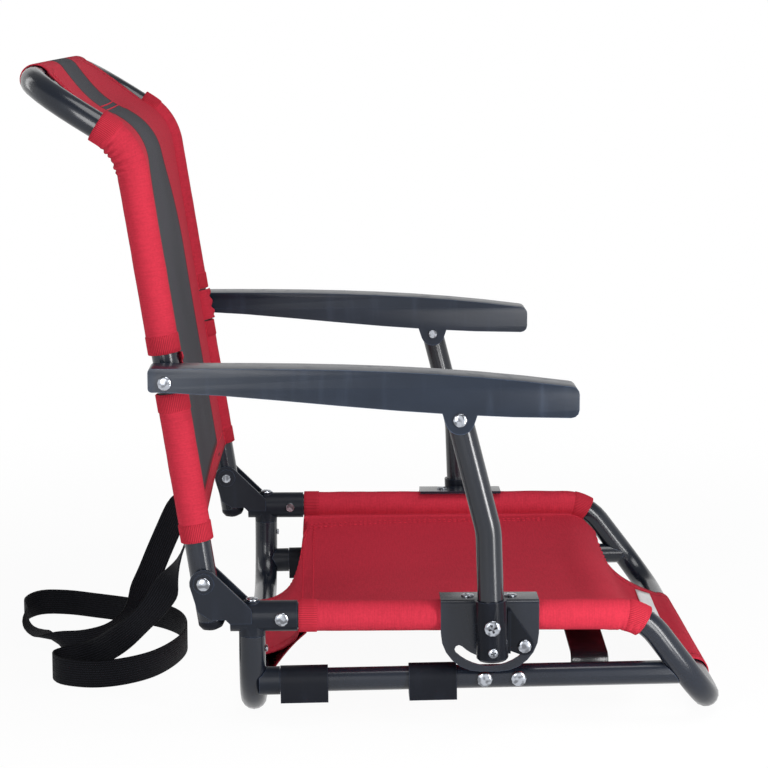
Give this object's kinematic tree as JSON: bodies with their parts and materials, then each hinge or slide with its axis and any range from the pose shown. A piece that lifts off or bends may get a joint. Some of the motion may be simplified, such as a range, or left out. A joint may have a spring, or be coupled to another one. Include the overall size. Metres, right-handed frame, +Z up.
{
  "type": "stadium seat",
  "caption": "Low folding stadium seat: bent steel tube frame, slung red fabric seat and back, armrests on folding links, pads for a bench and a loose carry strap.",
  "frame": {"origin": "on the floor, under the middle of the seat without its loose strap", "axes": "+X towards the front of the seat, +Y the sitter's left, +Z up"},
  "size_m": [0.6362, 0.5544, 0.5504],
  "materials": {
    "charcoal_powder_coat": "satin powder coat",
    "charcoal_moulded_plastic": "moulded, satin",
    "slate_arm_plastic": "moulded, fine texture",
    "bright_zinc": "zinc plate",
    "red_woven_polyester": "plain weave, coated back",
    "black_webbing": "ribbed webbing",
    "black_nylon": "moulded"
  },
  "bodies": {
    "base": {"seat_frame_tube": "charcoal_powder_coat", "rear_leg_tube": "charcoal_powder_coat", "lower_bar_right": "charcoal_powder_coat", "lower_bar_left": "charcoal_powder_coat", "arm_plate_right": "charcoal_powder_coat", "arm_plate_left": "charcoal_powder_coat", "hinge_bracket_right": "charcoal_moulded_plastic", "hinge_bracket_left": "charcoal_moulded_plastic", "bar_socket_right": "charcoal_moulded_plastic", "bar_socket_left": "charcoal_moulded_plastic", "hinge_rivet_right": "bright_zinc", "hinge_rivet_left": "bright_zinc", "rail_rivet_right": "bright_zinc", "rail_rivet_left": "bright_zinc", "bracket_bolt_right": "bright_zinc", "bracket_bolt_left": "bright_zinc", "leg_screw_right": "bright_zinc", "leg_screw_left": "bright_zinc", "bar_rivet_right_rear": "bright_zinc", "bar_rivet_right_front": "bright_zinc", "bar_rivet_left_rear": "bright_zinc", "bar_rivet_left_front": "bright_zinc", "plate_screw_right_rear": "bright_zinc", "plate_screw_right_front": "bright_zinc", "plate_screw_left_rear": "bright_zinc", "plate_screw_left_front": "bright_zinc", "bench_pad_right_rear": "black_nylon", "bench_pad_right_front": "black_nylon", "bench_pad_left_rear": "black_nylon", "bench_pad_left_front": "black_nylon", "seat_cloth": "red_woven_polyester", "seat_belt": "black_webbing", "carry_strap": "black_webbing"},
    "back": {"back_frame_tube": "charcoal_powder_coat", "back_tube_plug_right": "black_nylon", "back_tube_plug_left": "black_nylon", "back_cloth": "red_woven_polyester", "arm_rivet_right": "bright_zinc", "arm_rivet_left": "bright_zinc", "arm_spacer_right": "black_nylon", "arm_spacer_left": "black_nylon"},
    "arm_right": {"armrest_right": "slate_arm_plastic", "arm_pin_right": "bright_zinc"},
    "link_right": {"link_tube_right": "charcoal_powder_coat", "link_boot_right": "charcoal_moulded_plastic", "link_crank_right": "charcoal_powder_coat", "pivot_screw_right": "bright_zinc", "boot_screw_right": "bright_zinc", "crank_rivet_right": "bright_zinc"},
    "arm_left": {"armrest_left": "slate_arm_plastic", "arm_pin_left": "bright_zinc"},
    "link_left": {"link_tube_left": "charcoal_powder_coat", "link_boot_left": "charcoal_moulded_plastic", "link_crank_left": "charcoal_powder_coat", "pivot_screw_left": "bright_zinc", "boot_screw_left": "bright_zinc", "crank_rivet_left": "bright_zinc"}
  },
  "joints": [
    {"name": "back_fold", "type": "hinge", "parent": "base", "child": "back", "pos_m": [-0.145, 0, 0.125], "axis": [0, 1, 0], "range_deg": [0, 97]},
    {"name": "arm_turn_right", "type": "hinge", "parent": "back", "child": "arm_right", "pos_m": [-0.17254, -0.2581, 0.29883], "axis": [0, 1, 0], "range_deg": [-97, 0]},
    {"name": "link_swing_right", "type": "hinge", "parent": "base", "child": "link_right", "pos_m": [0.093, -0.2581, 0.094], "axis": [0, 1, 0], "range_deg": [0, 97]},
    {"name": "arm_turn_left", "type": "hinge", "parent": "back", "child": "arm_left", "pos_m": [-0.17254, 0.2581, 0.29883], "axis": [0, 1, 0], "range_deg": [-97, 0]},
    {"name": "link_swing_left", "type": "hinge", "parent": "base", "child": "link_left", "pos_m": [0.093, 0.2581, 0.094], "axis": [0, 1, 0], "range_deg": [0, 97]}
  ],
  "couplings": [
    {"joint": "arm_turn_right", "follows": "back_fold", "ratio": -1},
    {"joint": "link_swing_right", "follows": "back_fold", "ratio": 1},
    {"joint": "arm_turn_left", "follows": "back_fold", "ratio": -1},
    {"joint": "link_swing_left", "follows": "back_fold", "ratio": 1}
  ]
}
